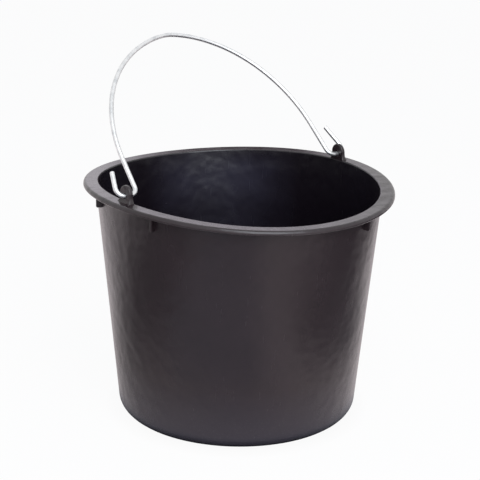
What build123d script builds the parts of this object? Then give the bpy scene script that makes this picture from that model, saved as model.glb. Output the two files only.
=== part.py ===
from build123d import *
import math
import os

# Builder's bucket of about 12 litres: one moulded tub and one bent wire bail.
# Millimetres, +Z up. The floor is at Z = 0, the bucket axis is Z, the bail turns about a line along X.

# Tub, main sizes
HEIGHT = 242.0         # floor to the top of the rim flange
MOUTH_R = 142.0        # inside radius of the wall at the top
WALL = 3.0             # wall thickness, measured level
TAPER = 23.0           # how far the wall draws in from the rim down to the floor
FLOOR_T = 3.2          # floor thickness
CORNER_R = 15.0        # outside rounding between wall and floor

# Floor panel, raised a little so that the tub stands on a ring
RING_W = 9.0           # standing ring, between the rounded corner and the step of the panel
PANEL_RISE = 2.5
PANEL_ROUND = 2.0      # softening of the step round the panel
GATE_R = 4.5           # moulding gate left in the middle of the underside
GATE_T = 0.8

# Rim flange and its turned-down lip
FLANGE_W = 15.0        # from the mouth to the outer edge
FLANGE_T = 3.0
LIP_DROP = 1.8         # lip below the underside of the flange
LIP_T = 2.4
RIM_ROUND = 3.2        # outer top edge
MOUTH_ROUND = 1.4      # inner top edge
UNDER_ROUND = 1.8      # wall to underside of flange
LIP_ROUND = 0.6        # lower edges of the lip

# Short ribs between wall and flange: a pair astride each lug and one more on each side
RIB_SPREAD = 40.0      # between the two ribs astride a lug, degrees
RIB_PHASE = -4.5       # middle of that pair from the hinge line, degrees
RIB_SIDE = 105.5       # the rib on each side, from the hinge line, degrees
RIB_T = 2.2
RIB_REACH = 4.0        # beyond the wall, at the underside of the flange
RIB_DROP = 17.0        # below the underside of the flange
RIB_ROUND = 1.5

# Eye lugs standing on the flange, their inner faces in line with the wall
LUG_HEAD_W = 16.0      # width of the round head
LUG_NECK = 0.8         # straight sides under the round head
LUG_FLARE_H = 8.5      # height at which the sides begin to spread
LUG_FLARE_W = 2.0      # spread of each side at the flange
LUG_HEAD_T = 3.8       # thickness at the top
LUG_SWELL = 0.8        # extra thickness above the outer foot
LUG_FOOT_H = 4.2       # height at which the outer foot begins to spread
LUG_FOOT_INSET = 6.2   # edge of the outer foot from the edge of the flange
LUG_ROUND = 1.2
LUG_SINK = 2.0         # overlap into the flange
EYE_RISE = 7.0         # eye centre above the flange

# Wire bail
WIRE_D = 4.5
EYE_CLEAR = 0.55       # gap all round the wire in the eye
HOOK_SEAT = 2.0        # start of the outer bend, inside the outer face of the lug
HOOK_GAP = 3.8         # inner face of the lug to the start of the inner bend
BEND_R = 8.0           # bends of the hook, to the middle of the wire
TIP_H = 33.6           # end of the free leg above the hinge line, at the +X lug
TIP_SHORT = 6.2        # how much shorter the free leg at the other lug is cut
TIP_TOE = 16.5         # inward slope of the free legs, degrees
LEG_TOE = 3.9          # inward slope of the long legs, degrees
LEG_H = 38.0           # where the long legs run into the arch, above the hinge line
CROWN_TURN = 21.0      # turn of the crown of the arch, degrees
CROWN_EASE = 80.0      # crown radius below the radius of the wide arcs beside it
TIP_BREAK = 0.5        # small bevel on the cut ends
LEAN = 44.3            # lean of the bail from upright, toward +Y, degrees

os.makedirs("parts", exist_ok=True)

rim_r = MOUTH_R + FLANGE_W
foot_r = MOUTH_R + WALL - TAPER
flange_z = HEIGHT - FLANGE_T
hinge_z = HEIGHT + EYE_RISE


def wall_r(z):
    """Outside radius of the wall at height z."""
    return foot_r + TAPER * z / HEIGHT


def rounded(section, spots):
    """The section with each named corner rounded: spots is a list of (corner, radius)."""
    for spot, radius in spots:
        nearest = section.vertices().sort_by_distance((spot[0], spot[1], 0))[0]
        section = fillet(nearest, radius)
    return section


# Tub: wall, floor and rim turned from one section
step = foot_r - CORNER_R - RING_W
panel_r = step - PANEL_RISE
foot = (foot_r, 0)
under = (wall_r(flange_z), flange_z)
lip_root = (rim_r - LIP_T, flange_z)
lip_in = (rim_r - LIP_T, flange_z - LIP_DROP)
lip_out = (rim_r, flange_z - LIP_DROP)
rim = (rim_r, HEIGHT)
mouth = (MOUTH_R, HEIGHT)
bottom = (wall_r(FLOOR_T) - WALL, FLOOR_T)
panel_under = (panel_r, PANEL_RISE)
panel_foot = (step, 0)
panel_low = (step, FLOOR_T)
panel_top = (panel_r, PANEL_RISE + FLOOR_T)
section = make_face(
    Polyline(
        (0, PANEL_RISE), panel_under, panel_foot, foot, under, lip_root, lip_in, lip_out,
        rim, mouth, bottom, panel_low, panel_top, (0, PANEL_RISE + FLOOR_T), close=True,
    )
)
section = rounded(
    section,
    [
        (panel_under, PANEL_ROUND), (panel_foot, PANEL_ROUND), (foot, CORNER_R), (under, UNDER_ROUND),
        (lip_in, LIP_ROUND), (lip_out, LIP_ROUND), (rim, RIM_ROUND), (mouth, MOUTH_ROUND),
        (bottom, CORNER_R - WALL), (panel_low, PANEL_ROUND), (panel_top, PANEL_ROUND),
    ],
)
tub = revolve(Plane.XZ * section, axis=Axis.Z)
tub += Pos(0, 0, PANEL_RISE - GATE_T / 2) * Cylinder(GATE_R, GATE_T)

# Ribs under the flange: one flat web with a rounded lower corner, repeated round the rim
rib_out = wall_r(flange_z) + RIB_REACH
rib_low = flange_z - RIB_DROP
rib_top = HEIGHT - FLANGE_T / 2
rib_corner = (rib_out, rib_low)
rib_web = make_face(
    Polyline(
        (wall_r(rib_low) - WALL / 2, rib_low), rib_corner, (rib_out, rib_top),
        (wall_r(rib_top) - WALL / 2, rib_top), close=True,
    )
)
rib_web = rounded(rib_web, [(rib_corner, RIB_ROUND)])
rib = extrude(Plane.XZ * rib_web, RIB_T / 2, both=True)
for turn in (0, 180):
    for rib_angle in (RIB_PHASE - RIB_SPREAD / 2, RIB_PHASE + RIB_SPREAD / 2, RIB_SIDE):
        tub += Rot(0, 0, turn + rib_angle) * rib

# Eye lug: the outline seen from outside, crossed with the outline seen along the rim
half_head = LUG_HEAD_W / 2
half_base = half_head + LUG_FLARE_W
head_z = LUG_FLARE_H + LUG_NECK
lug_top = head_z + half_head
front = make_face(
    [
        Line((-half_base, -LUG_SINK), (half_base, -LUG_SINK)),
        Line((half_base, -LUG_SINK), (half_base, 0)),
        TangentArc((half_head, LUG_FLARE_H), (half_base, 0), tangent=(0, -1)),
        Line((half_head, LUG_FLARE_H), (half_head, head_z)),
        ThreePointArc((half_head, head_z), (0, lug_top), (-half_head, head_z)),
        Line((-half_head, head_z), (-half_head, LUG_FLARE_H)),
        TangentArc((-half_head, LUG_FLARE_H), (-half_base, 0), tangent=(0, -1)),
        Line((-half_base, 0), (-half_base, -LUG_SINK)),
    ]
)
lug_in = math.sqrt(MOUTH_R**2 - half_base**2) - WALL
head_out = MOUTH_R + LUG_HEAD_T
eye_out = head_out + LUG_SWELL
foot_out = rim_r - LUG_FOOT_INSET
side = make_face(
    [
        Polyline((lug_in, -LUG_SINK), (lug_in, lug_top), (head_out, lug_top), (eye_out, LUG_FOOT_H)),
        TangentArc((eye_out, LUG_FOOT_H), (foot_out, 0), tangent=(LUG_SWELL, LUG_FOOT_H - lug_top)),
        Polyline((foot_out, 0), (foot_out, -LUG_SINK), (lug_in, -LUG_SINK)),
    ]
)
front_block = extrude(Plane.YZ.offset(lug_in) * front, foot_out - lug_in)
side_block = extrude(Plane.XZ * side, half_base, both=True)
lug = (front_block & side_block) - Cylinder(MOUTH_R, 2 * HEIGHT)
head_edges = lug.edges().filter_by(lambda edge: edge.center().Z > LUG_FLARE_H)
lug = fillet(head_edges, min(LUG_ROUND, LUG_HEAD_T / 3))
lug -= Pos(MOUTH_R, 0, EYE_RISE) * Rot(0, 90, 0) * Cylinder(WIRE_D / 2 + EYE_CLEAR, 2 * FLANGE_W)
for turn in (0, 180):
    tub += Rot(0, 0, turn) * Pos(0, 0, HEIGHT) * lug


def heading(angle):
    """Unit direction at an angle from +X, in degrees."""
    return math.cos(math.radians(angle)), math.sin(math.radians(angle))


def arc_run(start, end):
    """Shift along an arc of radius 1 that turns left from one heading to another, in degrees."""
    before = heading(start)
    after = heading(end)
    return after[1] - before[1], before[0] - after[0]


# Wire bail: each half runs from its free end, down through the eye and up to the top of the arch
tip_way = heading(90 + TIP_TOE)
leg_heading = 90 + LEG_TOE
leg_way = heading(leg_heading)
hook_floor = (eye_out - HOOK_SEAT, 0)
heel = (MOUTH_R - HOOK_GAP, 0)
hook_top = (hook_floor[0] + BEND_R * tip_way[1], BEND_R * (1 - tip_way[0]))
leg_low = (heel[0] - BEND_R * leg_way[1], BEND_R * (1 + leg_way[0]))
leg_top = (leg_low[0] + (LEG_H - leg_low[1]) * leg_way[0] / leg_way[1], LEG_H)

# The wide shoulder arc and the tighter crown arc share a tangent and end level in the middle,
# so the span and the difference of their radii give both.
crown_heading = 180 - CROWN_TURN / 2
wide = arc_run(leg_heading, crown_heading)
tight = arc_run(crown_heading, 180)
shoulder_r = (leg_top[0] - CROWN_EASE * tight[0]) / -(wide[0] + tight[0])
crown_r = shoulder_r - CROWN_EASE
shoulder = (leg_top[0] + shoulder_r * wide[0], LEG_H + shoulder_r * wide[1])
apex = (0, shoulder[1] + crown_r * tight[1])


def half_bail(tip_h):
    """Edges of half the wire, from a free end at this height round the hook to the top of the arch."""
    tip = (hook_top[0] + (tip_h - hook_top[1]) * tip_way[0] / tip_way[1], tip_h)
    return [
        Line(tip, hook_top),
        TangentArc(hook_top, hook_floor, tangent=heading(270 + TIP_TOE)),
        Line(hook_floor, heel),
        TangentArc(heel, leg_low, tangent=(-1, 0)),
        Line(leg_low, leg_top),
        TangentArc(leg_top, shoulder, tangent=leg_way),
        TangentArc(shoulder, apex, tangent=heading(crown_heading)),
    ]


half = half_bail(TIP_H)
other_half = [mirror(piece, about=Plane.YZ).edge() for piece in half_bail(TIP_H - TIP_SHORT)]
lean = math.radians(LEAN)
bail_plane = Plane(origin=(0, 0, hinge_z), x_dir=(1, 0, 0), z_dir=(0, -math.cos(lean), math.sin(lean)))
path = bail_plane * Wire(half + other_half)
wire_end = Plane(origin=path @ 0, z_dir=path % 0) * Circle(WIRE_D / 2)
bail = sweep(wire_end, path=path)
for end in (path @ 0, path @ 1):
    bail = chamfer(bail.faces().sort_by_distance(end)[0].edges(), TIP_BREAK)

export_step(tub, "parts/tub.step")
export_step(bail, "parts/wire_bail.step")
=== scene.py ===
import math

import bpy
import numpy as np
from mathutils import Matrix, Vector


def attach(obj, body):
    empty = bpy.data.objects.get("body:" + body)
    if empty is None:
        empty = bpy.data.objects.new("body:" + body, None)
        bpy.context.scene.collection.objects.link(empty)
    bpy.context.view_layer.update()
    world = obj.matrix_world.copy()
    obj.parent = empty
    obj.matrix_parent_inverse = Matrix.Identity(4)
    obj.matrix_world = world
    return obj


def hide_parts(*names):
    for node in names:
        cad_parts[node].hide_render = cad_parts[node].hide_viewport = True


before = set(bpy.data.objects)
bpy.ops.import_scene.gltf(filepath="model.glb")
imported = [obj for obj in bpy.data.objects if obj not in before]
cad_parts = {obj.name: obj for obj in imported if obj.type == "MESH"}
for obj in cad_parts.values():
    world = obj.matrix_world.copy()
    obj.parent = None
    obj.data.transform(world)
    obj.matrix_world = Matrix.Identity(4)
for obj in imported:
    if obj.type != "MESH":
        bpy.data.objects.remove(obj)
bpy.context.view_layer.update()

# Tub wall, floor and rim: one moulding in black recycled polyethylene, satin as it leaves the tool.
# The section is turned about the bucket's axis. The wire springs the rim, so the lugs are drawn in
# and the two sides between them stand out and hang a little.
HEIGHT = 0.242
MOUTH_R = 0.142
MOUTH_ROUND = 0.0014
WALL = 0.003
TAPER = 0.023
FLOOR_T = 0.0032
CORNER_R = 0.015
RING_W = 0.009
PANEL_RISE = 0.0025
PANEL_ROUND = 0.002
GATE_R = 0.0045
GATE_T = 0.0008
GATE_ROUND = 0.0003
FLANGE_W = 0.015
FLANGE_T = 0.003
FLANGE_ROUND = 0.0032
UNDER_ROUND = 0.0018
LIP_DROP = 0.0018
LIP_T = 0.0024
LIP_ROUND = 0.0006
DRAW_IN = 0.006
CALM_R = 0.1
SAG = 0.0027
SAG_SWING = 0.00366
SAG_TURN = 0.204
SWAY = 0.0022
AROUND = 240

rim_r = MOUTH_R + FLANGE_W
foot_r = MOUTH_R + WALL - TAPER
flange_z = HEIGHT - FLANGE_T
step_r = foot_r - CORNER_R - RING_W


def wall_r(z):
    """Outside radius of the wall: it grows evenly from the foot to the rim."""
    return foot_r + TAPER * z / HEIGHT


def sprung(points):
    """Where the pull of the wire brings the moulding. At angle a from the hinge line and height share s, the
    radius changes by -DRAW_IN * s * cos(2a), less and less from CALM_R to the axis, the height changes by
    -s * (SAG - SAG_SWING * cos(2a + SAG_TURN)), and the whole leans towards -X by SWAY * s."""
    x, y, z = np.moveaxis(points, -1, 0)
    angle = np.arctan2(y, x)
    radius = np.hypot(x, y)
    share = z / HEIGHT
    radius = radius - DRAW_IN * share * np.cos(2 * angle) * np.clip(radius / CALM_R, 0, 1)
    lean = SWAY * share
    drop = share * (SAG - SAG_SWING * np.cos(2 * angle + SAG_TURN))
    return np.stack([radius * np.cos(angle) - lean, radius * np.sin(angle), z - drop], axis=-1)


def rounded_section(corners, radii, steps=9, run=0.007, hold=0.0004, least=8e-5, tight=0.0025):
    """Points along a section: a tangent arc of the given radius at each inner corner, points at most one
    run apart on the straights, one point a small hold before and after each arc point, and none closer
    together than the least step. Also gives how strongly each point bends outwards: 0 on a straight, and
    in a bend the tight radius over the bend's own, up to 1."""
    corners = np.asarray(corners, float)
    radii = np.asarray(radii, float)
    way = np.diff(corners, axis=0)
    way /= np.linalg.norm(way, axis=1)[:, None]
    before, after = way[:-1], way[1:]
    cross = before[:, 0] * after[:, 1] - before[:, 1] * after[:, 0]
    turn = np.arctan2(cross, (before * after).sum(axis=1))
    side = np.sign(turn)[:, None] * np.stack([-before[:, 1], before[:, 0]], axis=1)
    angle = np.linspace(0, 1, steps)[None, :, None] * np.abs(turn)[:, None, None]
    start = corners[1:-1] - before * (radii * np.tan(np.abs(turn) / 2))[:, None]
    arcs = start[:, None] + radii[:, None, None] * (
        np.sin(angle) * before[:, None] + (1 - np.cos(angle)) * side[:, None]
    )
    line = np.vstack([corners[:1], arcs.reshape(-1, 2), corners[-1:]])
    length = np.concatenate([[0], np.cumsum(np.linalg.norm(np.diff(line, axis=0), axis=1))])
    spots = np.concatenate([length, np.arange(0, length[-1], run), length - hold, length + hold])
    spots = np.unique(np.round(np.clip(spots, 0, length[-1]), 6))
    spots = spots[np.concatenate([[True], np.diff(spots) > least])]
    spots[-1] = length[-1]
    points = np.stack([np.interp(spots, length, values) for values in line.T], axis=1)
    facing = np.unwrap(np.arctan2(*np.gradient(points, axis=0).T[::-1]))
    bend = np.clip(np.gradient(facing, spots) * tight, 0, 1)
    return points, bend


def turned(section, around):
    """A section of (radius, height) points carried round the axis as a grid of rings.
    The first and last point lie on the axis and close the surface."""
    angle = np.arange(around) * 2 * np.pi / around
    radius, height = section[1:-1].T[:, :, None]
    rings = np.stack([radius * np.cos(angle), radius * np.sin(angle), height + 0 * angle], axis=-1)
    points = np.vstack([rings.reshape(-1, 3), [0, 0, section[0, 1]], [0, 0, section[-1, 1]]])
    low, high = len(points) - 2, len(points) - 1
    index = np.arange(rings.shape[0] * around).reshape(-1, around)
    ahead = np.roll(index, -1, axis=1)
    quads = np.stack([index[:-1], ahead[:-1], ahead[1:], index[1:]], axis=-1).reshape(-1, 4)
    first = np.stack([ahead[0], index[0], np.full(around, low)], axis=-1)
    last = np.stack([index[-1], ahead[-1], np.full(around, high)], axis=-1)
    return points, quads.tolist() + first.tolist() + last.tolist()


def piece(name, points, faces, shares, body, node, finish):
    """A smooth mesh object at the origin that rides on a body, replaces a node and takes a slot's finish.
    The shares are named values from 0 to 1 at each point, such as the wear, for the finish to read."""
    mesh = bpy.data.meshes.new(name)
    mesh.from_pydata(points.tolist(), [], faces)
    for share, values in shares.items():
        spread = mesh.attributes.new(share, "FLOAT", "POINT")
        spread.data.foreach_set("value", np.asarray(values, np.float32))
    mesh.shade_smooth()
    mesh.materials.append(finish)
    made = bpy.data.objects.new(name, mesh)
    bpy.context.collection.objects.link(made)
    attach(made, body)
    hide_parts(node)


class Shade:
    """An output socket of a material's nodes. Sums, differences and products of such sockets, or of
    sockets and numbers, add Math nodes."""

    def __init__(self, tree, socket=None):
        self.tree = tree
        self.socket = socket

    def node(self, kind, settings, sockets, output=0):
        """Adds a node: first its settings, then the values or links of its sockets."""
        made = self.tree.nodes.new(kind)
        for name, value in settings.items():
            setattr(made, name, value)
        for name, value in sockets.items():
            if isinstance(value, Shade):
                self.tree.links.new(value.socket, made.inputs[name])
            else:
                made.inputs[name].default_value = value
        return Shade(self.tree, made.outputs[output])

    def maths(self, operation, first, second):
        """One Math node on two values."""
        return self.node("ShaderNodeMath", {"operation": operation}, {0: first, 1: second})

    def __add__(self, other):
        return self.maths("ADD", self, other)

    def __radd__(self, other):
        return self.maths("ADD", other, self)

    def __sub__(self, other):
        return self.maths("SUBTRACT", self, other)

    def __rsub__(self, other):
        return self.maths("SUBTRACT", other, self)

    def __mul__(self, other):
        return self.maths("MULTIPLY", self, other)

    def __rmul__(self, other):
        return self.maths("MULTIPLY", other, self)

    def held(self, low, high):
        """0 at low, 1 at high, an even slope between them, and held at 0 or 1 beyond."""
        sockets = {"Value": self, "From Min": low, "From Max": high}
        return self.node("ShaderNodeMapRange", {"clamp": True}, sockets)

    def noise(self, place, size, detail=3.0, rough=0.55):
        """Cloudy noise whose lumps are about the given size in metres."""
        sockets = {"Vector": place, "Scale": 1 / size, "Detail": detail, "Roughness": rough}
        return self.node("ShaderNodeTexNoise", {}, sockets)

    def stretched(self, place, scale):
        """Coordinates scaled along x, y and z."""
        sockets = {"Vector": place, "Scale": scale}
        return self.node("ShaderNodeMapping", {"vector_type": "POINT"}, sockets)

    def mixed(self, first, second, share):
        """Colour between two colours."""
        sockets = {"A": first, "B": second, "Factor": share}
        return self.node("ShaderNodeMix", {"data_type": "RGBA"}, sockets, output=2)


def new_material(name):
    """A new material, its own shader, and a Shade that adds nodes to it."""
    made = bpy.data.materials.new(name)
    made.use_nodes = True
    shader = made.node_tree.nodes["Principled BSDF"]
    return made, shader, Shade(made.node_tree)


def feed(shade, shader, name, value):
    """Links a worked-out value to a socket of the shader."""
    shade.tree.links.new(value.socket, shader.inputs[name])


# The black of the tub: recycled polyethylene with a warm cast, flow clouds and specks from the regrind,
# a dry grain, shallow dimples and faint upright drag marks from the tool, and paler rubbed edges.
# Dust lies low on the wall, with a painted cool reflection low on the outside. The inside is painted darker
# as shade, with a painted bluish sheen on one side.
PLASTIC = (0.0180, 0.0108, 0.0124, 1)
PLASTIC_WARM = (0.0222, 0.0132, 0.0152, 1)
# Painted shade: the inside of the bucket is coloured darker than the outside.
INNER_SHADE = (0.0068, 0.0046, 0.0070, 1)
# Painted sheen: a cool colour for a highlight on one side of the inside wall.
INNER_SHEEN = (0.0260, 0.0228, 0.0350, 1)
RUBBED = (0.060, 0.055, 0.057, 1)
# Painted reflection: a cool tint low on the outside wall.
COOL_REFLECTION = (0.0245, 0.0240, 0.0385, 1)
DUST = (0.150, 0.142, 0.135, 1)
CLOUD_SIZE = 0.045
DIMPLE_SIZE = 0.016
STREAK_SIZE = 0.0045
STREAK_PULL = (1, 1, 0.07)
SPECK_SIZE = 0.0016
GRAIN_SIZE = 0.0007
DUST_RISE = (0.0, 0.05)
COOL_REFLECTION_RISE = (0.005, 0.065)
SHEEN_SIDE = (0.53, 0.848, 0)
SHEEN_SPREAD = (0.80, 0.98)
SHEEN_TOP = (0.245, 0.220)
SHEEN_LOWER = (0.165, 0.205)

tub_finish, shader, shade = new_material("tub_plastic")
place = shade.node("ShaderNodeTexCoord", {}, {}, output=3)
height = shade.node("ShaderNodeSeparateXYZ", {}, {"Vector": place}, output=2)
worn = shade.node("ShaderNodeAttribute", {"attribute_name": "worn"}, {}, output=2)
lining = shade.node("ShaderNodeAttribute", {"attribute_name": "lining"}, {}, output=2)
clouds = shade.noise(place, CLOUD_SIZE)
dimples = shade.noise(place, DIMPLE_SIZE, detail=1)
streaks = shade.noise(shade.stretched(place, STREAK_PULL), STREAK_SIZE, detail=4)
specks = shade.noise(place, SPECK_SIZE, detail=2)
grain = shade.noise(place, GRAIN_SIZE, detail=2)
drag = streaks.held(0.60, 0.78)
rubbing = worn * clouds.held(0.35, 0.7)
foot_dust = (1 - height.held(*DUST_RISE)) * specks.held(0.55, 0.75)
# Where the painted cool reflection lies: on the outside, fading out upwards from the foot.
foot_reflection = (1 - lining) * (1 - height.held(*COOL_REFLECTION_RISE))
# Where the painted sheen lies: one side of the inside wall, from just under the rim, weaker lower down, in
# cloudy patches.
flat = shade.node("ShaderNodeVectorMath", {"operation": "MULTIPLY"}, {0: place, 1: (1, 1, 0)})
flat = shade.node("ShaderNodeVectorMath", {"operation": "NORMALIZE"}, {0: flat})
side = shade.node("ShaderNodeVectorMath", {"operation": "DOT_PRODUCT"}, {0: flat, 1: SHEEN_SIDE}, output=1)
depth = height.held(*SHEEN_TOP) * (0.45 + height.held(*SHEEN_LOWER) * 0.55)
inner_sheen = side.held(*SHEEN_SPREAD) * depth * (0.5 + clouds.held(0.35, 0.65) * 0.5)
colour = shade.mixed(PLASTIC, PLASTIC_WARM, clouds.held(0.3, 0.75))
# The inside takes the painted shade colour, with the painted sheen over it.
colour = shade.mixed(colour, shade.mixed(INNER_SHADE, INNER_SHEEN, inner_sheen), lining)
colour = shade.mixed(colour, RUBBED, rubbing * 0.4)
colour = shade.mixed(colour, COOL_REFLECTION, foot_reflection * 0.5)
colour = shade.mixed(colour, DUST, foot_dust * 0.10 + specks.held(0.70, 0.80) * 0.10)
feed(shade, shader, "Base Color", colour)
feed(shade, shader, "Roughness", 0.22 + clouds * 0.08 + drag * 0.03)
relief = grain * 0.6 + specks * 0.5 + streaks * 0.04 + dimples * 12.0
bump = shade.node("ShaderNodeBump", {}, {"Height": relief, "Strength": 0.12, "Distance": 0.0006})
feed(shade, shader, "Normal", bump)
shader.inputs["IOR"].default_value = 1.5
shader.inputs["Specular IOR Level"].default_value = 0.43

section, bend = rounded_section(
    [
        (0, PANEL_RISE - GATE_T), (GATE_R, PANEL_RISE - GATE_T), (GATE_R, PANEL_RISE),
        (step_r - PANEL_RISE, PANEL_RISE), (step_r, 0), (foot_r, 0), (wall_r(flange_z), flange_z),
        (rim_r - LIP_T, flange_z), (rim_r - LIP_T, flange_z - LIP_DROP), (rim_r, flange_z - LIP_DROP),
        (rim_r, HEIGHT), (MOUTH_R, HEIGHT), (wall_r(FLOOR_T) - WALL, FLOOR_T), (step_r, FLOOR_T),
        (step_r - PANEL_RISE, PANEL_RISE + FLOOR_T), (0, PANEL_RISE + FLOOR_T),
    ],
    [
        GATE_ROUND, GATE_ROUND, PANEL_ROUND, PANEL_ROUND, CORNER_R, UNDER_ROUND, LIP_ROUND, LIP_ROUND,
        LIP_ROUND, FLANGE_ROUND, MOUTH_ROUND, CORNER_R - WALL, PANEL_ROUND, PANEL_ROUND,
    ],
)
shell, shell_faces = turned(section, AROUND)
mouth_row = np.argmin(np.hypot(section[:, 0] - MOUTH_R, section[:, 1] - HEIGHT))
inside_rows = np.arange(len(section)) > mouth_row
shell_shares = {
    "worn": np.concatenate([np.repeat(bend[1:-1], AROUND), [0, 0]]),
    "lining": np.concatenate([np.repeat(inside_rows[1:-1], AROUND), [0, 1]]),
}
piece("tub_shell", sprung(shell), shell_faces, shell_shares, "tub", "tub", tub_finish)

# Short ribs under the flange: flat webs moulded in one with the wall and the flange, a pair astride
# each lug and one more on each side. They keep the rim from turning when the wire pulls at the lugs.
RIB_ANGLES = np.array([-24.5, 15.5, 105.5, 155.5, 195.5, 285.5])
RIB_T = 0.0022
RIB_REACH = 0.004
RIB_DROP = 0.017
RIB_ROUND = 0.0015
RIB_ROOT_ROUND = 0.0003
RIB_SEAM = 0.0002
RIB_EDGE = 0.0004
RIB_RUN = 0.001
RIB_WEAR = 0.15


def plate(outline, thickness, edge, rows=9):
    """A closed plate on an outline of (across, up) points: rows of the outline, drawn in by
    edge * (1 - cos) and set out by edge * sin over a half turn, and one middle point on each face."""
    ahead = np.roll(outline, -1, axis=0) - np.roll(outline, 1, axis=0)
    inward = np.stack([-ahead[:, 1], ahead[:, 0]], axis=1) / np.linalg.norm(ahead, axis=1)[:, None]
    turn = np.linspace(-np.pi / 2, np.pi / 2, rows)
    flat = outline[None] + inward[None] * (edge * (1 - np.cos(turn)))[:, None, None]
    depth = np.sign(np.round(turn, 6)) * (thickness / 2 - edge) + edge * np.sin(turn)
    grid = np.concatenate([flat, np.broadcast_to(depth[:, None, None], (*flat.shape[:2], 1))], axis=-1)
    middle = outline.mean(axis=0)
    points = np.vstack([grid.reshape(-1, 3), [*middle, depth[0]], [*middle, depth[-1]]])
    count = len(outline)
    index = np.arange(rows * count).reshape(rows, count)
    after = np.roll(index, -1, axis=1)
    quads = np.stack([index[:-1], after[:-1], after[1:], index[1:]], axis=-1).reshape(-1, 4)
    first = np.stack([after[0], index[0], np.full(count, rows * count)], axis=-1)
    last = np.stack([index[-1], after[-1], np.full(count, rows * count + 1)], axis=-1)
    return points, quads.tolist() + first.tolist() + last.tolist()


rib_low = flange_z - RIB_DROP
rib_top = HEIGHT - FLANGE_T / 2
rib_out = wall_r(flange_z) + RIB_REACH
root_low = wall_r(rib_low) - WALL / 2
root_top = wall_r(rib_top) - WALL / 2
web, _ = rounded_section(
    [
        (root_top, rib_top), (root_low, rib_low), (rib_out, rib_low),
        (rib_out, rib_top), (root_top + RIB_SEAM, rib_top),
    ],
    [RIB_ROOT_ROUND, RIB_ROUND, RIB_ROOT_ROUND],
    run=RIB_RUN,
)
rib, one_faces = plate(web, RIB_T, RIB_EDGE)
out, up, along = rib.T
rib_cos = np.cos(np.radians(RIB_ANGLES))[:, None]
rib_sin = np.sin(np.radians(RIB_ANGLES))[:, None]
ribs = np.stack(
    [rib_cos * out + rib_sin * along, rib_sin * out - rib_cos * along, up + 0 * rib_cos], axis=-1
)
rib_faces = [
    [corner + number * len(rib) for corner in face]
    for number in range(len(RIB_ANGLES))
    for face in one_faces
]
rib_worn = np.tile(np.abs(along) < RIB_T / 2 - RIB_EDGE / 2, len(RIB_ANGLES)) * RIB_WEAR
piece(
    "tub_ribs", sprung(ribs.reshape(-1, 3)), rib_faces, {"worn": rib_worn},
    "tub", "tub", tub_finish,
)

# Eye lugs: two upstanding ears moulded in one with the flange, with flared feet and a round hole for
# the wire. Their inner faces run on from the wall, and their edges are rounded.
HEAD_W = 0.016
NECK = 0.0008
FLARE_H = 0.0085
FLARE_W = 0.002
HEAD_T = 0.0038
SWELL = 0.0008
FOOT_H = 0.0042
LUG_ROUND = 0.0012
SINK = 0.002
EYE_RISE = 0.007
EYE_R = 0.0028


def eye_lug(around=144, face_rows=16, edge_rows=6):
    """A ring carried round the eye. At each angle the ring's cross-section goes from the rim of the hole
    out over the outer face to the outline, round the edge, back over the inner face and through the hole.
    The outline is the far point of the flared ear at that angle. The outer face is set by height alone,
    with a quarter round at its foot, and the inner face lies on the cylinder of the mouth. Also gives how
    far each point is rounded off, from 0 to 1."""
    half_head, half_base = HEAD_W / 2, HEAD_W / 2 + FLARE_W
    head_z = FLARE_H + NECK
    flare_r = (FLARE_W**2 + FLARE_H**2) / (2 * FLARE_W)
    sweep = np.linspace(0, np.arcsin(FLARE_H / flare_r), 24)
    flare_y = half_head + flare_r * (1 - np.cos(sweep))
    flare_z = FLARE_H - flare_r * np.sin(sweep)
    flare = np.stack([flare_y, flare_z], axis=1)
    dome = np.linspace(0, np.pi / 2, 32)
    crown = np.stack([half_head * np.cos(dome), head_z + half_head * np.sin(dome)], axis=1)
    right = np.vstack([[0, -SINK], [half_base, -SINK], flare[::-1], crown])
    right[:, 1] -= EYE_RISE
    bearing = np.arctan2(right[:, 0], -right[:, 1])
    reach = np.hypot(*right.T)
    angle = np.arange(around) * 2 * np.pi / around
    fold = np.minimum(angle, 2 * np.pi - angle)
    far = np.interp(fold, bearing, reach)
    face = EYE_R + (far - LUG_ROUND - EYE_R) * np.linspace(0, 1, face_rows)[:, None]
    turn = np.linspace(0, np.pi, 2 * edge_rows)[1:-1, None] + 0 * angle
    span = np.vstack([face, far - LUG_ROUND + LUG_ROUND * np.sin(turn), face[::-1]])
    round_off = np.vstack([0 * face, LUG_ROUND * (1 - np.abs(np.cos(turn))), 0 * face])
    front = np.arange(len(span))[:, None] < len(span) / 2
    y = span * np.sin(angle)
    z = EYE_RISE - span * np.cos(angle)
    low = np.clip(z, 0, FOOT_H)
    swell = np.clip((z - FOOT_H) / (head_z + half_head - FOOT_H), 0, 1)
    outer = MOUTH_R + HEAD_T + SWELL * (1 - swell) + FOOT_H - np.sqrt(FOOT_H**2 - (FOOT_H - low) ** 2)
    inner = np.sqrt(MOUTH_R**2 - y**2)
    x = np.where(front, outer - round_off, inner + round_off)
    points = np.stack([x, y, z + HEIGHT], axis=-1)
    rows = len(points)
    index = np.arange(rows * around).reshape(rows, around)
    after = np.roll(index, -1, axis=1)
    beyond, beyond_after = np.roll(index, -1, axis=0), np.roll(after, -1, axis=0)
    quads = np.stack([index, beyond, beyond_after, after], axis=-1).reshape(-1, 4)
    worn = round_off / LUG_ROUND
    return points.reshape(-1, 3), quads, worn.reshape(-1)


lug, lug_quads, lug_worn = eye_lug()
near = lug - np.array([DRAW_IN, 0, 0])
lugs = np.vstack([near, near * np.array([-1, -1, 1])]) - np.array([SWAY, 0, 0])
lug_faces = np.vstack([lug_quads, lug_quads + len(lug)]).tolist()
piece(
    "tub_lugs", lugs, lug_faces, {"worn": np.tile(lug_worn, 2)},
    "tub", "tub", tub_finish,
)

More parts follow.
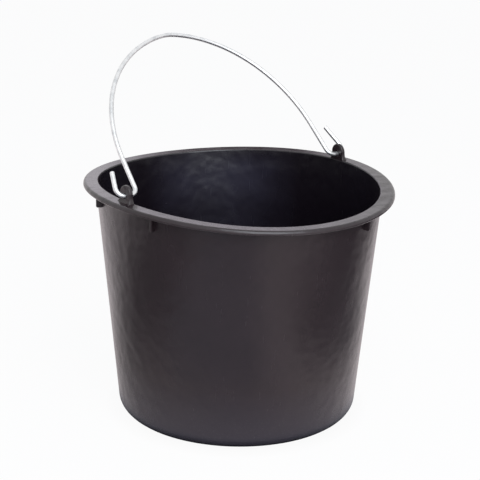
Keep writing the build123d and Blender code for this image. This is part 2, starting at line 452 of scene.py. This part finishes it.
# Wire bail: one length of bright galvanised steel wire, cut and bent cold, with no grip.
# Each end is bent into an open hook that lies through the eye of a lug, its free end outside.
WIRE_R = 0.00225
BEND_R = 0.008
BEND_SEAT = 0.002
HOOK_GAP = 0.0038
TIP_H = (0.0336, 0.0274)
TIP_TOE = 16.5
TIP_BREAK = 0.0005
LEG_TOE = 3.9
LEG_H = 0.0395
CROWN_TURN = 21
CROWN_EASE = 0.080
LEAN = 44.3
SEAT_R = 0.146


def heading(angle):
    """Unit direction at an angle from the hinge line, in degrees."""
    return np.array([math.cos(math.radians(angle)), math.sin(math.radians(angle))])


def arc(start, begin, end, radius, steps):
    """Points along an arc that leaves a start with one heading and ends with another, in degrees: at heading
    h it has gone radius * (sin h - sin begin, cos begin - cos h), or the reverse for a turn to the right."""
    sign = 1 if end > begin else -1
    turn = np.radians(np.linspace(begin, end, steps))
    run = np.stack([np.sin(turn) - np.sin(turn[0]), np.cos(turn[0]) - np.cos(turn)], axis=1)
    return start + sign * radius * run


def straight(start, end, steps):
    """Points evenly along a straight run."""
    return start + (end - start) * np.linspace(0, 1, steps)[:, None]


def half_bail(tip_h):
    """Points of one half of the bail in its own plane, from the free end at a given height above the hinge
    line, down round the hook and up the leg to the middle of the arch. The wide shoulder arc and the
    tighter crown arc share a tangent, so the span and the difference of their radii give both."""
    crown_from = 180 - CROWN_TURN / 2
    tip_way = heading(90 + TIP_TOE)
    leg_way = heading(90 + LEG_TOE)
    crown_way = heading(crown_from)
    hook_floor = np.array([MOUTH_R + HEAD_T + SWELL - BEND_SEAT, 0])
    heel = np.array([MOUTH_R - HOOK_GAP, 0])
    hook_top = hook_floor + BEND_R * np.array([tip_way[1], 1 - tip_way[0]])
    tip = hook_top + tip_way * (tip_h - hook_top[1]) / tip_way[1]
    leg_low = heel + BEND_R * np.array([-leg_way[1], 1 + leg_way[0]])
    leg_top = leg_low + leg_way * (LEG_H - leg_low[1]) / leg_way[1]
    wide = np.array([crown_way[1] - leg_way[1], leg_way[0] - crown_way[0]])
    tight = np.array([-crown_way[1], crown_way[0] + 1])
    shoulder_r = (leg_top[0] - CROWN_EASE * tight[0]) / -(wide[0] + tight[0])
    shoulder = leg_top + shoulder_r * wide
    return np.vstack(
        [
            straight(tip, hook_top, 14)[:-1],
            arc(hook_top, 270 + TIP_TOE, 180, BEND_R, 22)[:-1],
            straight(hook_floor, heel, 8)[:-1],
            arc(heel, 180, 90 + LEG_TOE, BEND_R, 22)[:-1],
            straight(leg_low, leg_top, 14)[:-1],
            arc(leg_top, 90 + LEG_TOE, crown_from, shoulder_r, 60)[:-1],
            arc(shoulder, crown_from, 180, shoulder_r - CROWN_EASE, 16),
        ]
    )


def wire(route, sides=28):
    """A round wire carried along a route in the leaning plane of the bail: at each point a circle square to
    the route, drawn in at both ends by a small bevel and closed by a middle point."""
    lean = math.radians(LEAN)
    across = np.array([1.0, 0, 0])
    upward = np.array([0, math.sin(lean), math.cos(lean)])
    square = np.array([0, math.cos(lean), -math.sin(lean)])
    way = np.gradient(route, axis=0)
    way /= np.linalg.norm(way, axis=1)[:, None]
    normal = np.stack([-way[:, 1], way[:, 0]], axis=1)
    normal = np.vstack([normal[:1], normal, normal[-1:]])
    start, end = route[:1], route[-1:]
    full = np.vstack([start + way[:1] * TIP_BREAK, route[1:-1], end - way[-1:] * TIP_BREAK])
    bevelled = np.vstack([start, full, end])
    size = np.concatenate([[WIRE_R - TIP_BREAK], np.full(len(full), WIRE_R), [WIRE_R - TIP_BREAK]])
    turn = np.arange(sides) * 2 * np.pi / sides
    middle = bevelled[:, :1] * across + bevelled[:, 1:] * upward + np.array([0, 0, HEIGHT + EYE_RISE])
    out = normal[:, :1] * across + normal[:, 1:] * upward
    rings = middle[:, None] + size[:, None, None] * (
        np.cos(turn)[None, :, None] * out[:, None] + np.sin(turn)[None, :, None] * square
    )
    rows = len(rings)
    points = np.vstack([rings.reshape(-1, 3), middle[0], middle[-1]])
    index = np.arange(rows * sides).reshape(rows, sides)
    ahead = np.roll(index, -1, axis=1)
    quads = np.stack([index[:-1], index[1:], ahead[1:], ahead[:-1]], axis=-1).reshape(-1, 4)
    first = np.stack([index[0], ahead[0], np.full(sides, rows * sides)], axis=-1)
    last = np.stack([ahead[-1], index[-1], np.full(sides, rows * sides + 1)], axis=-1)
    return points, quads.tolist() + first.tolist() + last.tolist()


# The zinc on the wire: a bright coat with a faint spangle and fine marks from drawing the wire,
# polished where the hooks rub in the eyes.
ZINC = (0.76, 0.76, 0.76, 1)
ZINC_GREY = (0.52, 0.53, 0.54, 1)
ZINC_WORN = (0.80, 0.80, 0.80, 1)
SPANGLE_SIZE = 0.006
DRAW_SIZE = 0.0012
RUB_X = 0.137
RUB_SPREAD = 0.006

wire_finish, shader, shade = new_material("bail_wire")
place = shade.node("ShaderNodeTexCoord", {}, {}, output=3)
worn = shade.node("ShaderNodeAttribute", {"attribute_name": "worn"}, {}, output=2)
spangle = shade.noise(place, SPANGLE_SIZE)
draw = shade.noise(place, DRAW_SIZE, detail=4)
colour = shade.mixed(ZINC, ZINC_GREY, spangle.held(0.42, 0.68) * 0.7)
colour = shade.mixed(colour, ZINC_WORN, worn * 0.7)
feed(shade, shader, "Base Color", colour)
feed(shade, shader, "Roughness", 0.30 + spangle * 0.16 - worn * 0.08)
bump = shade.node("ShaderNodeBump", {}, {"Height": draw, "Strength": 0.10, "Distance": 0.0003})
feed(shade, shader, "Normal", bump)
shader.inputs["Metallic"].default_value = 0.9

route = np.vstack([half_bail(TIP_H[0]), half_bail(TIP_H[1])[-2::-1] * np.array([-1, 1])])
route[:, 0] = route[:, 0] * (1 - DRAW_IN / SEAT_R) - SWAY
bail, bail_faces = wire(route)
bail_worn = np.exp(-((np.abs(bail[:, 0] + SWAY) - RUB_X) / RUB_SPREAD) ** 2)
piece(
    "wire_bail_bent", bail, bail_faces, {"worn": bail_worn},
    "bail", "wire_bail", wire_finish,
)

# Floor: a plain white sheet that the bucket stands on, wide enough to fill the view. Its colour is painted
# dark under the foot as a contact shadow, which the foot mirrors; its white shows in reflections from just
# beyond the foot.
FLOOR_REACH = 9
# Painted shadow: the floor's colour just under the foot.
FLOOR_SHADOW = (0.02, 0.02, 0.02, 1)
FLOOR_PALE = (0.88, 0.83, 0.83, 1)
FLOOR_SEEN = (1, 1, 1, 1)
FLOOR_MIRRORED = (1.08, 0.98, 0.99, 1)
FOOT_SHADOW_REACH = (0.116, 0.138)
BEYOND_FOOT = (0.124, 0.146)

floor_finish, shader, shade = new_material("floor_white")
shader.inputs["Roughness"].default_value = 0.9
shader.inputs["Specular IOR Level"].default_value = 0.1
seen = shade.node("ShaderNodeLightPath", {}, {}, output="Is Camera Ray")
mirrored = shade.node("ShaderNodeLightPath", {}, {}, output="Is Glossy Ray")
mirrored = mirrored + shade.node("ShaderNodeLightPath", {}, {}, output="Is Transmission Ray")
place = shade.node("ShaderNodeTexCoord", {}, {}, output=3)
reach = shade.node("ShaderNodeVectorMath", {"operation": "LENGTH"}, {0: place}, output=1)
feed(shade, shader, "Base Color", shade.mixed(FLOOR_SHADOW, FLOOR_PALE, reach.held(*FOOT_SHADOW_REACH)))
tone = shade.mixed(FLOOR_SEEN, FLOOR_MIRRORED, mirrored)
white = shade.node("ShaderNodeEmission", {}, {"Color": tone, "Strength": 1.0})
base = Shade(shade.tree, shader.outputs["BSDF"])
# Near the foot, reflections see the painted shadow instead of the white.
whiteness = seen * 0.95 + mirrored * reach.held(*BEYOND_FOOT) * 0.88
mix = shade.node("ShaderNodeMixShader", {}, {0: whiteness, 1: base, 2: white})
shade.tree.links.new(mix.socket, shade.tree.nodes["Material Output"].inputs["Surface"])

floor_corners = np.array([(-1, -1, 0), (1, -1, 0), (1, 1, 0), (-1, 1, 0)]) * FLOOR_REACH
floor_mesh = bpy.data.meshes.new("floor")
floor_mesh.from_pydata(floor_corners.tolist(), [], [(0, 1, 2, 3)])
floor_mesh.materials.append(floor_finish)
floor = bpy.data.objects.new("floor", floor_mesh)
bpy.context.collection.objects.link(floor)

# Cards round the bucket, out of the camera's sight, that show only in its reflections, as grey boards do in a
# studio: right, left and front close by, three more further out, all laid on the floor, a dark one standing
# behind the bucket and a bright one further back. Their edges fade out.
TOWARD, ASIDE, UPRIGHT = np.array([(-0.644, -0.765, 0), (0.765, -0.644, 0), (0, 0, 1)])
LIFT = UPRIGHT * 0.001


def card(name, glow, corner, first_edge, second_edge, fades):
    """A flat card from a corner along two edges, shining evenly. It fades in from each side over a share of
    its size: the shares are given for the start and end of the first edge, then of the second."""
    made, _, shade = new_material(name)
    spot = shade.node("ShaderNodeTexCoord", {}, {}, output=2)
    along = shade.node("ShaderNodeSeparateXYZ", {}, {"Vector": spot}, output=0)
    up = shade.node("ShaderNodeSeparateXYZ", {}, {"Vector": spot}, output=1)
    cover = along.held(0, fades[0]) * along.held(1, 1 - fades[1])
    cover = cover * up.held(0, fades[2]) * up.held(1, 1 - fades[3])
    clear = shade.node("ShaderNodeBsdfTransparent", {}, {})
    light = shade.node("ShaderNodeEmission", {}, {"Color": (*glow, 1), "Strength": 1.0})
    mix = shade.node("ShaderNodeMixShader", {}, {0: cover, 1: clear, 2: light})
    shade.tree.links.new(mix.socket, shade.tree.nodes["Material Output"].inputs["Surface"])
    mesh = bpy.data.meshes.new(name)
    corners = corner + np.array([(0, 0), (1, 0), (1, 1), (0, 1)]) @ np.array([first_edge, second_edge])
    mesh.from_pydata(corners.tolist(), [], [(0, 1, 2, 3)])
    mesh.uv_layers.new(name="card").data.foreach_set("uv", [0, 0, 1, 0, 1, 1, 0, 1])
    mesh.materials.append(made)
    laid = bpy.data.objects.new(name, mesh)
    bpy.context.collection.objects.link(laid)
    laid.visible_camera = False
    laid.visible_diffuse = False
    laid.visible_shadow = False
    laid.visible_transmission = False


card(
    "card_right", (0.25, 0.248, 0.262), ASIDE * 0.235 - TOWARD * 0.25 + LIFT,
    ASIDE * 1.3, TOWARD * 0.75 - ASIDE * 0.13, (0.08, 0.3, 0.31, 0.40),
)
card(
    "card_left", (0.24, 0.232, 0.235), ASIDE * -0.08 - TOWARD * 0.23 + LIFT,
    ASIDE * -0.71, TOWARD * 0.85, (0.366, 0.3, 0.28, 0.30),
)
card(
    "card_front", (0.53, 0.55, 0.62), ASIDE * -0.36 + TOWARD * 0.14 + LIFT * 2,
    ASIDE * 0.53, TOWARD * 0.80, (0.2, 0.27, 0.12, 0.3),
)
card(
    "card_far_right", (0.12, 0.11, 0.12), ASIDE * 0.42 - TOWARD * 0.75 + LIFT * 2,
    ASIDE * 0.9, TOWARD * 1.0, (0.14, 0.3, 0.3, 0.2),
)
card(
    "card_far_front", (0.22, 0.21, 0.22), ASIDE * -0.5 + TOWARD * 0.56 + LIFT * 3,
    ASIDE * 1.0, TOWARD * 0.26, (0.2, 0.2, 0.25, 0.25),
)
card(
    "card_far_left", (0.10, 0.09, 0.10), TOWARD * 0.90 - ASIDE * 0.05 + LIFT * 4,
    TOWARD * -0.85 - ASIDE * 0.85, TOWARD * 0.42 - ASIDE * 0.42, (0.15, 0.1, 0.08, 0.2),
)
card(
    "card_back", (0.048, 0.036, 0.042), ASIDE * -0.18 - TOWARD * 0.42,
    ASIDE * 0.36, UPRIGHT * 0.40, (0.3, 0.3, 0.1, 0.2),
)
card(
    "card_glow", (2.06, 1.92, 2.16), ASIDE * -0.80 - TOWARD * 1.6 + UPRIGHT * 0.35,
    ASIDE * 1.10, UPRIGHT * 0.9, (0.88, 0.2, 0.2, 0.4),
)

# Room: white all round where the camera or a reflection meets it, as in a white studio, and an even,
# cool soft light for everything else.
ROOM_LIGHT = (0.28, 0.34, 0.44, 1)
ROOM_WHITE = (1, 1, 1, 1)

world = bpy.data.worlds.new("room")
bpy.context.scene.world = world
world.use_nodes = True
shade = Shade(world.node_tree)
seen = shade.node("ShaderNodeLightPath", {}, {}, output="Is Camera Ray")
seen = seen + shade.node("ShaderNodeLightPath", {}, {}, output="Is Glossy Ray")
seen = (seen + shade.node("ShaderNodeLightPath", {}, {}, output="Is Transmission Ray")).held(0, 1)
room = shade.mixed(ROOM_LIGHT, ROOM_WHITE, seen)
world.node_tree.links.new(room.socket, world.node_tree.nodes["Background"].inputs["Color"])

# Lamp: one large soft box, higher than the camera and a little to its right, turned towards the upper
# part of the bucket.
LAMP_PLACE = Vector((-0.613, -1.314, 1.35))
LAMP_AIM = Vector((0, 0, 0.2))
LAMP_SIZE = (1.3, 2.2)
LAMP_WATTS = 40
LAMP_COLOUR = (0.88, 0.94, 1.0)

lamp_data = bpy.data.lights.new("key", "AREA")
lamp_data.shape = "RECTANGLE"
lamp_data.size, lamp_data.size_y = LAMP_SIZE
lamp_data.energy = LAMP_WATTS
lamp_data.color = LAMP_COLOUR
lamp = bpy.data.objects.new("key", lamp_data)
bpy.context.collection.objects.link(lamp)
lamp_turn = (LAMP_AIM - LAMP_PLACE).to_track_quat("-Z", "Y").to_matrix().to_4x4()
lamp.matrix_world = Matrix.Translation(LAMP_PLACE) @ lamp_turn

# Camera: about a metre and a half away with a long lens, looking down over the rim, tipped slightly.
# It stands off in one direction from a point on the bucket's axis, and looks along one close to it.
STAND_AZ, STAND_EL = math.radians(-40.056), math.radians(19.325)
STAND_OFF = 1.55
AXIS_H = 0.1276
LOOK_AZ, LOOK_EL, ROLL = math.radians(-40.097), math.radians(17.539), math.radians(0.906)
SENSOR_W = 36
IMAGE_W = 480
FOCAL_PIXELS = 1503.7


def look(azimuth, elevation):
    """Forward direction at an azimuth from +Y and an elevation looking down: level by the cosine of the
    elevation, and down by its sine."""
    along = math.cos(elevation)
    return Vector((-math.sin(azimuth) * along, math.cos(azimuth) * along, -math.sin(elevation)))


camera_data = bpy.data.cameras.new("camera")
camera_data.sensor_width = SENSOR_W
camera_data.lens = FOCAL_PIXELS / IMAGE_W * SENSOR_W
camera = bpy.data.objects.new("camera", camera_data)
bpy.context.collection.objects.link(camera)
forward = look(LOOK_AZ, LOOK_EL)
level = Vector((math.cos(LOOK_AZ), math.sin(LOOK_AZ), 0))
upright = level.cross(forward)
right = level * math.cos(ROLL) + upright * math.sin(ROLL)
above = upright * math.cos(ROLL) - level * math.sin(ROLL)
camera_turn = Matrix((right, above, -forward)).transposed().to_4x4()
stand = Vector((0, 0, AXIS_H)) - look(STAND_AZ, STAND_EL) * STAND_OFF
camera.matrix_world = Matrix.Translation(stand) @ camera_turn
bpy.context.scene.camera = camera
bpy.context.scene.view_settings.view_transform = "Standard"
